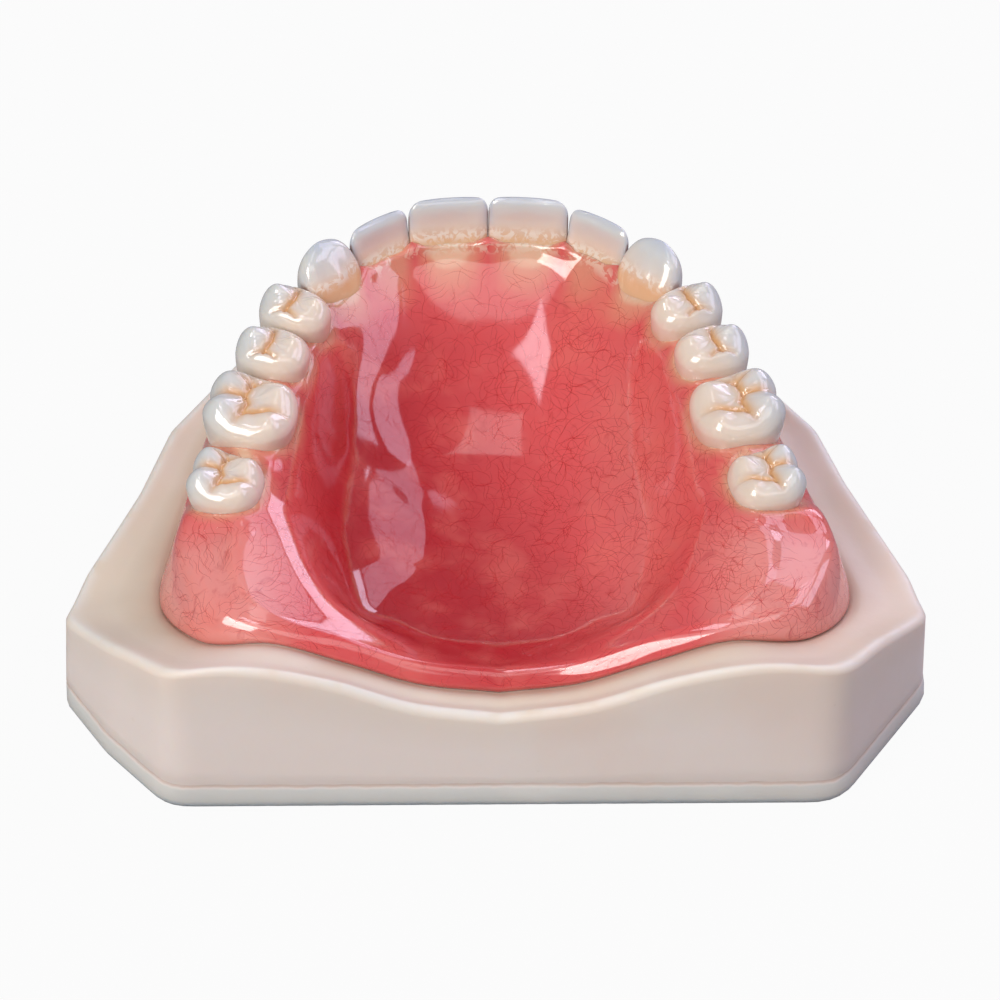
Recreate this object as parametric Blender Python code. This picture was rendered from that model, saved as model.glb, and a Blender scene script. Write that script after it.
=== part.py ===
"""Full upper denture seated on its dental cast, teeth upwards.

The incisors point to +Y, the wearer's left is +X and the cast stands on Z = 0.
Every piece is a loft of closed sections: the arch line carries the teeth and the
base, and the tissue side of the base and the ridge of the cast share one profile.
"""

import bmesh
import bpy
import numpy as np

MM = 0.001

# Seats and clearances
SEAT_GAP = 0.3          # between the denture and the cast it rests on
BOND_GAP = 0.25         # between a tooth and its socket
CONTACT_GAP = 0.15      # between neighbouring teeth

# Arch line: contact points of the teeth from the midline back, then round the heel
# of the base and along its rear border to the midline again
ARCH = [(0.0, 24.8), (8.3, 24.0), (14.1, 19.9), (19.1, 14.7), (21.8, 9.1), (23.8, 2.9),
        (26.4, -6.9), (28.6, -15.9), (28.7, -20.5), (26.9, -25.2), (22.6, -28.5),
        (15.5, -29.9), (8.0, -30.3), (0.0, -30.4)]
PALATE = (0.0, -8.0)    # plan centre of the vault
HEEL_SKEW = 0.9         # the heels of the base lie this far to the wearer's left

# Polished side of the base, read along the arch line at these stations:
# inner rings as (share of the way to the palate centre, height)
STATIONS = [0, 1, 2.5, 4, 5.5, 6.5, 7.2, 8, 9, 10, 11, 12, 13]
VAULT_Z = 10.3
FOOT = [(0.56, 13.0), (0.54, 13.0), (0.50, 12.6), (0.52, 11.6), (0.55, 11.0), (0.58, 10.8),
        (0.60, 10.7), (0.60, 10.7), (0.58, 10.9), (0.54, 11.1), (0.50, 11.0), (0.48, 10.8), (0.48, 10.7)]
SLOPE = [(0.31, 17.4), (0.30, 17.2), (0.29, 16.8), (0.31, 16.0), (0.33, 15.4), (0.34, 15.4),
         (0.36, 15.3), (0.36, 15.3), (0.32, 15.6), (0.27, 15.3), (0.22, 13.8), (0.18, 12.4), (0.16, 11.9)]
GUM_IN = [(0.075, 22.5), (0.085, 22.5), (0.13, 22.5), (0.17, 22.3), (0.18, 21.7), (0.15, 21.0),
          (0.15, 20.9), (0.17, 20.6), (0.15, 20.1), (0.11, 19.0), (0.07, 16.7), (0.05, 14.0), (0.045, 13.0)]
CREST_Z = [21.5, 21.5, 21.6, 21.8, 21.4, 20.8, 20.9, 20.8, 20.5, 19.7, 17.5, 14.5, 13.3]

# outer rings as (distance out from the arch line, height)
GUM_OUT = [(2.1, 18.4), (2.4, 18.2), (3.4, 18.2), (3.7, 19.4), (4.5, 19.2), (4.2, 19.3),
           (4.2, 19.9), (3.8, 20.0), (2.7, 19.9), (1.1, 19.4), (0.5, 17.3), (0.4, 14.4), (0.3, 13.2)]
BULGE = [(3.7, 14.8), (3.9, 14.6), (4.6, 14.6), (5.0, 15.2), (5.2, 15.5), (5.4, 16.0),
         (5.6, 16.3), (5.4, 16.7), (4.2, 18.3), (1.7, 19.0), (0.9, 16.9), (0.8, 14.0), (0.7, 12.8)]
EDGE = [(4.6, 12.2), (4.9, 11.9), (5.6, 11.5), (6.1, 11.3), (6.0, 11.6), (6.3, 12.1),
        (6.5, 12.6), (6.1, 13.7), (4.7, 16.3), (1.9, 18.3), (1.0, 16.3), (0.8, 13.4), (0.7, 12.2)]

# Tissue side of the base, which is also the ridge and palate of the cast
RIDGE_OUT = [(2.4, 13.2), (2.6, 13.0), (3.1, 13.0), (3.4, 13.6), (3.6, 14.0), (3.8, 14.8),
             (3.8, 15.3), (3.6, 16.0), (2.2, 17.4), (-0.6, 18.0), (-1.3, 15.9), (-1.5, 13.0), (-1.5, 11.9)]
RIDGE_TOP = [(0.0, 14.9), (0.0, 15.0), (0.0, 15.1), (0.0, 15.7), (0.0, 16.3), (0.0, 16.9), (0.0, 17.5),
             (0.0, 18.1), (-0.6, 18.5), (-2.2, 17.9), (-2.2, 15.5), (-2.2, 12.7), (-2.2, 11.6)]
RIDGE_IN = [(0.27, 13.2), (0.27, 13.2), (0.26, 13.4), (0.25, 14.0), (0.24, 14.6), (0.24, 15.2),
            (0.24, 15.5), (0.22, 16.0), (0.20, 16.2), (0.17, 15.6), (0.15, 13.7), (0.15, 11.4), (0.15, 10.9)]
PALATE_THICK = 2.3
EDGE_ROUND = 0.8        # how far the rolled border turns in under itself
SHORE = 0.9             # width of the groove beside the border
PAPILLA = 1.8           # rise of the gum between two teeth
EMINENCE = 0.35         # hollow of the flange between two roots

# Cast: plan outline as (corner x, corner y, corner radius) from the front round the wearer's left,
# trimmed by hand, so the two sides differ a little
OUTLINE = [(0.0, 36.6, 16.0), (21.5, 29.0, 12.0), (34.9, 8.9, 5.0), (37.5, 0.4, 20.0), (43.2, -14.2, 6.0),
           (44.5, -20.8, 4.0), (34.6, -35.7, 5.0), (-33.6, -35.7, 4.5), (-39.8, -28.2, 8.0), (-44.5, -20.3, 3.0),
           (-42.4, -13.0, 8.0), (-37.1, -0.6, 20.0), (-34.0, 9.2, 5.0), (-21.5, 29.0, 12.0)]
WALL_DRAFT = 0.25       # the wall leans out by this towards its foot
SEAM_Z = 2.4            # height of the mould seam round the wall
SEAM_OUT = 0.3
BASE_IN = 0.45          # the foot of the wall is chamfered back by this
RIM_ROUND = 0.9
# rim height of the wall along the arch stations
RIM_Z = [10.8, 10.8, 11.0, 11.2, 11.4, 11.3, 11.4, 13.6, 17.2, 19.2, 17.3, 13.7, 12.1]

# Teeth from the midline back: name, top height, tilt outwards, tilt backwards (degrees)
TEETH = [("central_incisor", 28.6, 4.0, 0.0), ("lateral_incisor", 28.0, 4.0, 0.0),
         ("canine", 28.5, 2.0, 0.0), ("first_premolar", 27.9, 0.0, -1.0),
         ("second_premolar", 27.4, 0.0, -2.0), ("first_molar", 26.6, 0.0, -4.0),
         ("second_molar", 25.1, 2.0, -8.0)]

# Front teeth: sections from the incisal edge down as (depth, width share, face, thickness),
# where the face is the labial side's distance out from the arch line
INCISOR = [(0.0, 0.70, 1.35, 0.35), (0.18, 0.84, 1.48, 0.75), (0.55, 0.93, 1.6, 1.15),
           (1.3, 0.985, 1.75, 1.5), (2.8, 1.0, 2.0, 2.1), (4.4, 0.985, 2.2, 3.0),
           (6.0, 0.95, 2.35, 4.3), (8.0, 0.88, 2.3, 5.2), (10.0, 0.80, 2.1, 5.2), (11.2, 0.68, 1.8, 4.4)]
CANINE = [(0.0, 0.24, 2.1, 0.6), (0.3, 0.52, 2.35, 1.5), (0.9, 0.76, 2.6, 2.4),
          (1.9, 0.92, 2.9, 3.5), (3.1, 0.99, 3.1, 4.6), (4.6, 1.0, 3.2, 5.5),
          (6.2, 0.97, 3.15, 6.3), (8.2, 0.90, 3.0, 6.6), (10.2, 0.80, 2.7, 6.2), (11.4, 0.68, 2.3, 5.2)]
NECK_DEPTH = {"central_incisor": 12.0, "lateral_incisor": 11.6, "canine": 12.2}

# Back teeth: width across the arch, cusps as (along, across, height) in half widths,
# with +along towards the midline and +across to the cheek, then the fissures as polylines
PREMOLAR_CUSPS = [(0.05, 0.56, 0.0), (0.10, -0.52, -0.45)]
PREMOLAR_LINES = [((0.62, 0.12), (0.0, 0.02), (-0.62, 0.10)), ((0.5, 0.1), (0.72, 0.42)),
                  ((-0.5, 0.1), (-0.72, 0.42))]
MOLAR_CUSPS = [(0.50, 0.60, 0.0), (-0.44, 0.58, -0.1), (0.44, -0.50, -0.3), (-0.55, -0.52, -0.8)]
MOLAR_LINES = [((0.72, 0.10), (0.40, 0.08), (0.02, 0.10), (-0.42, 0.04), (-0.70, 0.06)),
               ((0.03, 0.10), (0.02, 1.05)), ((-0.42, 0.04), (-0.16, -0.55), (-0.12, -1.0))]
BACK_TEETH = {
    "first_premolar": dict(across=7.6, depth=9.6, taper=0.14, skew=0.05, notch=0.0, dip=1.5,
                           cusps=PREMOLAR_CUSPS, lines=PREMOLAR_LINES),
    "second_premolar": dict(across=7.7, depth=9.0, taper=0.10, skew=0.03, notch=0.0, dip=1.4,
                            cusps=PREMOLAR_CUSPS, lines=PREMOLAR_LINES),
    "first_molar": dict(across=9.7, depth=8.3, taper=0.05, skew=0.12, notch=0.5, dip=1.5,
                        cusps=MOLAR_CUSPS, lines=MOLAR_LINES),
    "second_molar": dict(across=7.8, depth=6.4, taper=0.12, skew=0.12, notch=0.4, dip=1.3,
                         cusps=MOLAR_CUSPS, lines=MOLAR_LINES)}
# side of a back tooth as (share of its depth, share of its outline)
BACK_SIDE = [(0.34, 1.0), (0.52, 0.985), (0.74, 0.92), (0.92, 0.80)]
BACK_TOP = (0.965, 0.87, 0.73, 0.56, 0.38, 0.19)

# Mesh density
TOOTH_COLUMNS = 16
COLUMNS_PER_TOOTH = 3
HEEL_COLUMNS = 11

# Colours as linear RGB, roughness
ACRYLIC = ((0.56, 0.085, 0.085), 0.12)
ENAMEL = ((0.78, 0.71, 0.60), 0.15)
RESIN = ((0.72, 0.58, 0.48), 0.45)


# Helpers

def clear_scene():
    for item in list(bpy.data.objects):
        bpy.data.objects.remove(item, do_unlink=True)


def new_collection(name):
    made = bpy.data.collections.new(name)
    bpy.context.scene.collection.children.link(made)
    return made


def material(name, look):
    made = bpy.data.materials.new(name)
    made.use_nodes = True
    shader = made.node_tree.nodes["Principled BSDF"]
    shader.inputs["Base Color"].default_value = (*look[0], 1.0)
    shader.inputs["Roughness"].default_value = look[1]
    shader.inputs["Metallic"].default_value = 0.0
    made.diffuse_color = (*look[0], 1.0)
    return made


def smooth_through(nodes, values, at):
    """Cubic curve through the values at the nodes, read at the given places."""
    nodes = np.asarray(nodes, float)
    values = np.asarray(values, float)
    slope = np.gradient(values, nodes, axis=0)
    at = np.clip(at, nodes[0], nodes[-1])
    left = np.clip(np.searchsorted(nodes, at, side="right") - 1, 0, len(nodes) - 2)
    step = nodes[left + 1] - nodes[left]
    t = (at - nodes[left]) / step
    shape = (-1,) + (1,) * (values.ndim - 1)
    t, step = t.reshape(shape), step.reshape(shape)
    near = (2 * t**3 - 3 * t**2 + 1) * values[left] + (t**3 - 2 * t**2 + t) * step * slope[left]
    far = (3 * t**2 - 2 * t**3) * values[left + 1] + (t**3 - t**2) * step * slope[left + 1]
    return near + far


def loft(name, rings, home, look):
    """Closed mesh over rings of points, with one point closing each end."""
    rings = [np.asarray(ring, float) for ring in rings]
    count = len(rings[1])
    points = [rings[0].reshape(1, 3)] + rings[1:-1] + [rings[-1].reshape(1, 3)]
    verts = np.concatenate(points) * MM
    last = len(verts) - 1
    faces = []
    for j in range(count):
        k = (j + 1) % count
        faces.append((0, 1 + j, 1 + k))
        for i in range(len(rings) - 3):
            a = 1 + i * count
            b = a + count
            faces.append((a + j, b + j, b + k, a + k))
        a = 1 + (len(rings) - 3) * count
        faces.append((a + j, last, a + k))
    mesh = bpy.data.meshes.new(name)
    mesh.from_pydata(verts.tolist(), [], faces)
    shape = bmesh.new()
    shape.from_mesh(mesh)
    bmesh.ops.recalc_face_normals(shape, faces=shape.faces)
    shape.to_mesh(mesh)
    shape.free()
    mesh.shade_smooth()
    mesh.materials.append(look)
    made = bpy.data.objects.new(name, mesh)
    home.objects.link(made)
    return made


# Arch line and the rings that follow it

def arch_places():
    """Places along the arch from the front midline round the wearer's left to the rear one."""
    teeth = np.linspace(0, 7, 7 * COLUMNS_PER_TOOTH, endpoint=False)
    heel = np.linspace(7, 13, HEEL_COLUMNS + 1)
    return np.concatenate([teeth, heel])


def arch_line(at):
    """Plan point and outward direction of the arch line."""
    whole = [(-x, y) for x, y in ARCH[:0:-1]] + ARCH
    nodes = np.arange(-13, 14)
    point = smooth_through(nodes, whole, at)
    ahead = smooth_through(nodes, whole, at + 0.05)
    behind = smooth_through(nodes, whole, at - 0.05)
    run = ahead - behind
    run[np.isclose(at, 0.0)] = (1.0, 0.0)
    run[np.isclose(at, 13.0)] = (-1.0, 0.0)
    run /= np.linalg.norm(run, axis=1)[:, None]
    return point, np.stack([-run[:, 1], run[:, 0]], axis=1)


def between_teeth(at):
    """1 at a contact between two teeth, 0 at the middle of a tooth, fading out at the heel."""
    return np.cos(np.pi * at) ** 2 * np.clip((7.6 - at) / 1.0, 0, 1)


def mirrored(half):
    """Whole ring from its half on the wearer's left, front midline first."""
    other = half[-2:0:-1] * (-1, 1, 1)
    ring = np.concatenate([half, other])
    back = np.clip((-ring[:, 1] - 2.0) / 16.0, 0, 1)
    side = np.clip((np.abs(ring[:, 0]) - 24.0) / 9.0, 0, 1)
    ring[:, 0] += HEEL_SKEW * back * side
    return ring


def inner_ring(at, table, drop=0.0):
    """Ring on the palate side of the arch line."""
    point, _ = arch_line(at)
    share, height = smooth_through(STATIONS, table, at).T
    plan = point + share[:, None] * (np.array(PALATE) - point)
    return np.column_stack([plan, height - drop])


def outer_ring(at, table, drop=0.0, shift=0.0):
    """Ring on the cheek side of the arch line."""
    point, out = arch_line(at)
    reach, height = smooth_through(STATIONS, table, at).T
    plan = point + (reach + shift)[:, None] * out
    return np.column_stack([plan, height - drop])


def crest_ring(at, heights, drop=0.0):
    point, _ = arch_line(at)
    height = smooth_through(STATIONS, heights, at)
    return np.column_stack([point, height - drop])


def spline_rings(rings, steps):
    """Extra rings on a smooth curve through the given ones, so many to each span."""
    rings = np.asarray(rings)
    places = []
    for span, count in enumerate(steps):
        places += [span + k / count for k in range(count)]
    places.append(len(steps))
    return smooth_through(np.arange(len(rings)), rings, np.array(places))


def vault_rings(foot, centre_z):
    """Rings from the foot of the slope to near the palate centre."""
    centre = np.array([*PALATE, centre_z])
    return [centre + (foot - centre) * (share, share, share**2) for share in (0.68, 0.34)]


def tissue_rings(at, gap):
    """Underside of the base from its border to the palate centre, lowered by the gap."""
    under = outer_ring(at, EDGE, EDGE_ROUND + gap, shift=-0.6 * EDGE_ROUND)
    inside = outer_ring(at, EDGE, 0.5 * EDGE_ROUND + gap, shift=-2.0 * EDGE_ROUND - 0.3 * gap)
    ridge_out = outer_ring(at, RIDGE_OUT, gap, shift=-0.5 * gap)
    top = outer_ring(at, RIDGE_TOP, gap)
    ridge_in = inner_ring(at, RIDGE_IN, gap)
    deep = inner_ring(at, FOOT, PALATE_THICK + gap)
    rings = spline_rings([under, inside, ridge_out, top, ridge_in, deep], [1, 1, 2, 2, 2])
    return list(rings) + vault_rings(deep, VAULT_Z - PALATE_THICK - gap)


# Denture base

def base_rings():
    at = arch_places()
    papilla = between_teeth(at)
    gum_in = inner_ring(at, GUM_IN)
    gum_in[:, 2] += 0.35 * PAPILLA * papilla
    crest = crest_ring(at, CREST_Z)
    crest[:, 2] += PAPILLA * papilla
    gum_out = outer_ring(at, GUM_OUT, shift=-EMINENCE * papilla)
    gum_out[:, 2] += PAPILLA * papilla
    bulge = outer_ring(at, BULGE, shift=-EMINENCE * papilla)
    edge = outer_ring(at, EDGE)
    foot = inner_ring(at, FOOT)
    slope = inner_ring(at, SLOPE)
    low = tissue_rings(at, 0.0)
    top = vault_rings(foot, VAULT_Z)[::-1] + [foot, slope, gum_in, crest, gum_out, bulge, edge]
    polished = spline_rings(top + low[:1], [1, 1, 2, 2, 2, 1, 2, 1, 1])
    start = [np.array([*PALATE, VAULT_Z])]
    end = [np.array([*PALATE, VAULT_Z - PALATE_THICK])]
    return start + [mirrored(ring) for ring in list(polished) + low[1:]] + end


# Dental cast

def rounded_outline():
    """Dense plan outline of the cast: straight runs between rounded corners."""
    path = []
    for i, (x, y, radius) in enumerate(OUTLINE):
        here = np.array([x, y])
        ways = []
        for other in (OUTLINE[i - 1], OUTLINE[(i + 1) % len(OUTLINE)]):
            way = np.array(other[:2]) - here
            ways.append(way / np.linalg.norm(way))
        half = 0.5 * np.arccos(np.clip(np.dot(*ways), -1, 1))
        reach = radius / np.tan(half)
        a, b = here + ways[0] * reach, here + ways[1] * reach
        for t in np.linspace(0, 1, 13):
            path.append((1 - t) ** 2 * a + 2 * t * (1 - t) * here + t**2 * b)
    path = np.array(path + path[:1])
    fine = np.linspace(0, len(path) - 1, 24 * (len(path) - 1), endpoint=False)
    steps = np.arange(len(path))
    return np.column_stack([np.interp(fine, steps, path[:, 0]), np.interp(fine, steps, path[:, 1])])


def wall_ring(path, directions, inset):
    """Outline met by rays from the palate centre, moved in by the inset."""
    rel = path - np.array(PALATE)
    angle = np.unwrap(np.arctan2(rel[:, 1], rel[:, 0]))
    order = np.argsort(angle % (2 * np.pi))
    ring = angle[order] % (2 * np.pi)
    reach = np.linalg.norm(rel, axis=1)[order]
    wanted = np.arctan2(directions[:, 1], directions[:, 0]) % (2 * np.pi)
    far = np.interp(wanted, np.r_[ring - 2 * np.pi, ring, ring + 2 * np.pi], np.tile(reach, 3))
    unit = directions / np.linalg.norm(directions, axis=1)[:, None]
    return np.array(PALATE) + unit * (far - inset)[:, None]


def cast_rings():
    at = arch_places()
    whole = np.concatenate([at, at[-2:0:-1]])
    inner = [mirrored(ring) for ring in tissue_rings(at, SEAT_GAP)[::-1]]
    shore = mirrored(outer_ring(at, EDGE, 0.5 * EDGE_ROUND, shift=SHORE))
    directions = shore[:, :2] - np.array(PALATE)
    path = rounded_outline()
    rim_z = smooth_through(STATIONS, RIM_Z, whole)

    def level(inset, height):
        return np.column_stack([wall_ring(path, directions, inset), height])

    flat = np.zeros(len(whole))
    land = level(RIM_ROUND + WALL_DRAFT, rim_z)
    middle = 0.5 * (shore + land)
    middle[:, 2] -= 0.25
    wall = [land, level(0.35 * RIM_ROUND + WALL_DRAFT, rim_z - 0.3 * RIM_ROUND),
            level(WALL_DRAFT, rim_z - RIM_ROUND), level(0.0, flat + SEAM_Z + 1.2),
            level(-SEAM_OUT, flat + SEAM_Z), level(0.0, flat + SEAM_Z - 0.9), level(BASE_IN, flat)]
    start = [np.array([*PALATE, VAULT_Z - PALATE_THICK - SEAT_GAP])]
    end = [np.array([*PALATE, 0.0])]
    return start + inner + [shore, middle] + wall + end


# Teeth

def section(columns, half_width, half_depth, power, taper=0.0, skew=0.0):
    """Superellipse in plan, narrower on its palate side by the taper."""
    turn = 2 * np.pi * (np.arange(columns) + 0.5) / columns
    c, s = np.cos(turn), np.sin(turn)
    x = half_width * np.sign(c) * np.abs(c) ** (2 / power)
    y = half_depth * np.sign(s) * np.abs(s) ** (2 / power)
    across = y / half_depth
    x = x * (1 + taper * (across - 1) * 0.5) + skew * half_width * across * 0.5
    return x, y


def front_tooth(table, depth, width, grow, columns):
    """Blade-shaped crown: thin edge, hollow palate side, thick neck."""
    stretch = depth / table[-1][0] if depth else 1.0
    rings = []
    for down, share, face, thick in table:
        half = 0.5 * width * share + grow
        x, y = section(columns, half, 0.5 * thick + grow, 2.5)
        hollow = 0.32 * np.exp(-((down - 3.2) / 2.0) ** 2)
        y = y + np.where(y < 0, hollow * np.clip(1 - (x / (0.75 * half)) ** 2, 0, 1), 0)
        y = y + face - 0.5 * thick - 0.9 * (x / (0.5 * width)) ** 2 * (0.35 + 0.03 * down)
        z = -down * stretch + np.where(down == 0, grow, 0)
        rings.append(np.column_stack([x, y, np.full(columns, z)]))
    low = rings[-1].mean(axis=0) - (0, 0, 0.6 + grow)
    high = rings[0].mean(axis=0) + (0, 0, 0.06)
    return [high] + rings + [low]


def line_distance(x, y, points):
    """Distance from each place to a polyline."""
    best = np.full(np.shape(x), 9.0)
    for (ax, ay), (bx, by) in zip(points, points[1:]):
        t = np.clip(((x - ax) * (bx - ax) + (y - ay) * (by - ay)) / ((bx - ax) ** 2 + (by - ay) ** 2), 0, 1)
        best = np.minimum(best, np.hypot(x - ax - t * (bx - ax), y - ay - t * (by - ay)))
    return best


def chewing_height(x, y, spec):
    """Height below the highest cusp over the crown, x and y in half widths."""
    cusps = [tip - 1.9 * np.hypot(x - cx, 1.05 * (y - cy)) for cx, cy, tip in spec["cusps"]]
    ridges = [-0.95 - 1.6 * np.hypot(2.2 * (x - side), 0.55 * y) for side in (0.8, -0.8)]
    stack = np.array(cusps + ridges)
    height = np.log(np.exp(4.0 * stack).sum(axis=0)) / 4.0
    height = np.maximum(height, -spec["dip"])
    for line in spec["lines"]:
        height = height - 0.38 * np.exp(-((line_distance(x, y, line) / 0.10) ** 2))
    around = (np.abs(x) ** 2.6 + np.abs(y) ** 2.6) ** (1 / 2.6)
    return height - 1.5 * np.clip((around - 0.66) / 0.34, 0, 1.2) ** 2


def back_tooth(spec, width, grow, columns):
    """Molar or premolar: bulging sides, a cusped chewing face and a plug for its socket."""
    half_w, half_a = 0.5 * width, 0.5 * spec["across"]
    x0, y0 = section(columns, half_w + grow, half_a + grow, 2.6, spec["taper"], spec["skew"])
    notch = spec["notch"] * np.exp(-((x0 / (0.24 * half_w)) ** 2))
    y0 = y0 - np.where(y0 > 0, notch, 0)
    rings = []
    for share in BACK_TOP[::-1]:
        x, y = share * x0, share * y0
        z = chewing_height(x / half_w, y / half_a, spec) + grow
        rings.append(np.column_stack([x, y, z]))
    for deep, share in BACK_SIDE:
        z = np.full(columns, -deep * spec["depth"])
        rings.append(np.column_stack([share * x0, share * y0, z]))
    foot = -spec["depth"] - grow
    rings.append(np.column_stack([0.62 * x0, 0.62 * y0, np.full(columns, foot)]))
    high = np.array([0, 0, float(chewing_height(np.zeros(1), np.zeros(1), spec)[0]) + grow])
    return [high] + rings + [np.array([0, 0, foot - 0.02])]


def tooth_rings(index, side, grow, columns):
    """Sections of one tooth in its place on the arch; side is 1 on the wearer's left."""
    name, top, lean, nod = TEETH[index]
    a, b = np.array(ARCH[index]), np.array(ARCH[index + 1])
    along = (a - b) / np.linalg.norm(a - b)
    out = np.array([-along[1], along[0]]) * -1.0
    if np.dot(out, 0.5 * (a + b) - np.array(PALATE)) < 0:
        out = -out
    width = np.linalg.norm(a - b) - CONTACT_GAP
    if name in BACK_TEETH:
        rings = back_tooth(BACK_TEETH[name], width, grow, columns)
    else:
        table = CANINE if name == "canine" else INCISOR
        rings = front_tooth(table, NECK_DEPTH[name] - 0.6, width, grow, columns)
    lean, nod = np.radians(lean), np.radians(nod)
    middle = 0.5 * (a + b)
    placed = []
    for ring in rings:
        x, y, z = np.atleast_2d(ring).T
        y, z = y + np.sin(lean) * (z + 6.0), z
        z = z - np.sin(nod) * -x
        plan = middle + x[:, None] * along + y[:, None] * out
        placed.append(np.column_stack([plan[:, 0] * side, plan[:, 1], z + top]))
    if side < 0:
        placed = [ring[::-1] for ring in placed]
    return placed


def build():
    clear_scene()
    denture = new_collection("full_denture")
    cutters = new_collection("socket_cutters")
    acrylic = material("pink_acrylic", ACRYLIC)
    enamel = material("tooth_acrylic", ENAMEL)
    resin = material("cast_resin", RESIN)
    loft("cast", cast_rings(), denture, resin)
    base = loft("denture_base", base_rings(), denture, acrylic)
    for side, word in ((-1, "right"), (1, "left")):
        for index, (name, *_) in enumerate(TEETH):
            node = f"{word}_{name}"
            loft(node, tooth_rings(index, side, 0.0, TOOTH_COLUMNS), denture, enamel)
            cutter = loft(f"socket_{node}", tooth_rings(index, side, BOND_GAP, TOOTH_COLUMNS), cutters, enamel)
            cutter.hide_render = True
            cutter.display_type = "WIRE"
    cut = base.modifiers.new("sockets", "BOOLEAN")
    cut.operation = "DIFFERENCE"
    cut.solver = "EXACT"
    cut.operand_type = "COLLECTION"
    cut.collection = cutters


build()
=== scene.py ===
"""The looks of a full upper denture on its dental cast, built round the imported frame.

Sizes are in millimetres and MM turns them into metres. The incisors point to +Y, the
wearer's left is +X, and the cast stands on Z = 0.
"""

import bmesh
import bpy
import numpy as np
from mathutils import Matrix, Vector
from mathutils.bvhtree import BVHTree


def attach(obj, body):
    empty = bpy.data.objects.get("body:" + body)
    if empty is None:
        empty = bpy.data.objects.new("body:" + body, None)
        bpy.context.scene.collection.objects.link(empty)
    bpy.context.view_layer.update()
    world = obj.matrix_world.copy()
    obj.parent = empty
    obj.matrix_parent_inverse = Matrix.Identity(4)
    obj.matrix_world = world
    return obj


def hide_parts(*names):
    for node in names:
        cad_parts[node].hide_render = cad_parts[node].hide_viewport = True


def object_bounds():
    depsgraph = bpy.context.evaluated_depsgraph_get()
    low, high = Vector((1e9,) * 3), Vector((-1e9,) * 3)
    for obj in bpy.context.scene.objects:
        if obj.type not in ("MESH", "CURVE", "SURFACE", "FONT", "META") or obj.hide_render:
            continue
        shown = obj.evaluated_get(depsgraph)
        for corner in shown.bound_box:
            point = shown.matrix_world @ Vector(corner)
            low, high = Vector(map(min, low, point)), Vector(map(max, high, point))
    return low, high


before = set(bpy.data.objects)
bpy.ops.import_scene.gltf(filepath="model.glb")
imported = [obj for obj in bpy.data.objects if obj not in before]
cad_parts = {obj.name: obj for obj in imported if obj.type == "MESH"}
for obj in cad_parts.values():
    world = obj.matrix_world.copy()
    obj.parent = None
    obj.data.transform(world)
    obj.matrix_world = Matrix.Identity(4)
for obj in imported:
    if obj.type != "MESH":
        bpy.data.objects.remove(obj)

cad_box = [list(corner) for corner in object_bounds()]


# Dental cast
# A resin copy of the upper jaw, poured in one piece: the ridge and palate inside, a flat land
# round them, and walls trimmed by hand above a mould seam. The denture seats on its ridge.

MM = 0.001
SEAT_GAP = 0.06
# plan of the arch line: the tooth contacts from the midline back, then round the heel
ARCH = [(0.0, 24.8), (8.3, 24.0), (14.1, 19.9), (19.1, 14.7), (21.8, 9.1), (23.8, 2.9),
        (26.4, -6.9), (28.6, -15.9), (28.7, -20.5), (26.9, -25.2), (22.6, -28.5),
        (15.5, -29.9), (8.0, -30.3), (0.0, -30.4)]
PALATE = (0.0, -8.0)
HEEL_SKEW = 0.9
TEETH_A_SIDE = 7
LAST_STATION = len(ARCH) - 1
STATIONS = [0, 1, 2.5, 4, 5.5, 6.5, 7.2, 8, 9, 10, 11, 12, LAST_STATION]
VAULT_Z = 10.3
PALATE_THICK = 2.3
EDGE_ROUND = 0.8
# (place, height) at each station: FOOT and RIDGE_IN by share of the way from the arch line to the
# palate centre, the others by distance out from the arch line
FOOT = [(0.54, 13.0), (0.54, 13.0), (0.52, 12.7), (0.58, 11.9), (0.66, 11.3), (0.69, 10.9),
        (0.70, 10.7), (0.69, 10.7), (0.65, 10.7), (0.59, 10.8), (0.53, 10.8), (0.48, 10.7), (0.48, 10.6)]
EDGE = [(4.6, 12.2), (4.9, 11.9), (5.6, 11.5), (6.1, 11.3), (6.0, 11.6), (6.3, 12.1),
        (6.5, 12.6), (6.1, 13.7), (4.7, 16.3), (1.9, 18.2), (1.0, 16.0), (0.8, 13.1), (0.7, 11.9)]
RIDGE_OUT = [(2.4, 13.2), (2.6, 13.0), (3.1, 13.0), (3.4, 13.6), (3.6, 14.0), (3.8, 14.8),
             (3.8, 15.3), (3.6, 16.0), (2.2, 17.4), (-0.6, 18.0), (-1.3, 15.9), (-1.5, 13.0), (-1.5, 11.9)]
RIDGE_TOP = [(0.0, 14.9), (0.0, 15.0), (0.0, 15.1), (0.0, 15.7), (0.0, 16.3), (0.0, 16.9), (0.0, 17.5),
             (0.0, 18.1), (-0.6, 18.5), (-2.2, 17.9), (-2.2, 15.5), (-2.2, 12.7), (-2.2, 11.6)]
RIDGE_IN = [(0.27, 13.2), (0.27, 13.2), (0.26, 13.4), (0.25, 13.9), (0.23, 14.3), (0.22, 14.6),
            (0.21, 14.7), (0.20, 15.1), (0.18, 15.3), (0.16, 15.0), (0.15, 13.4), (0.15, 11.3), (0.15, 10.9)]
SHORE = 0.9
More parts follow.
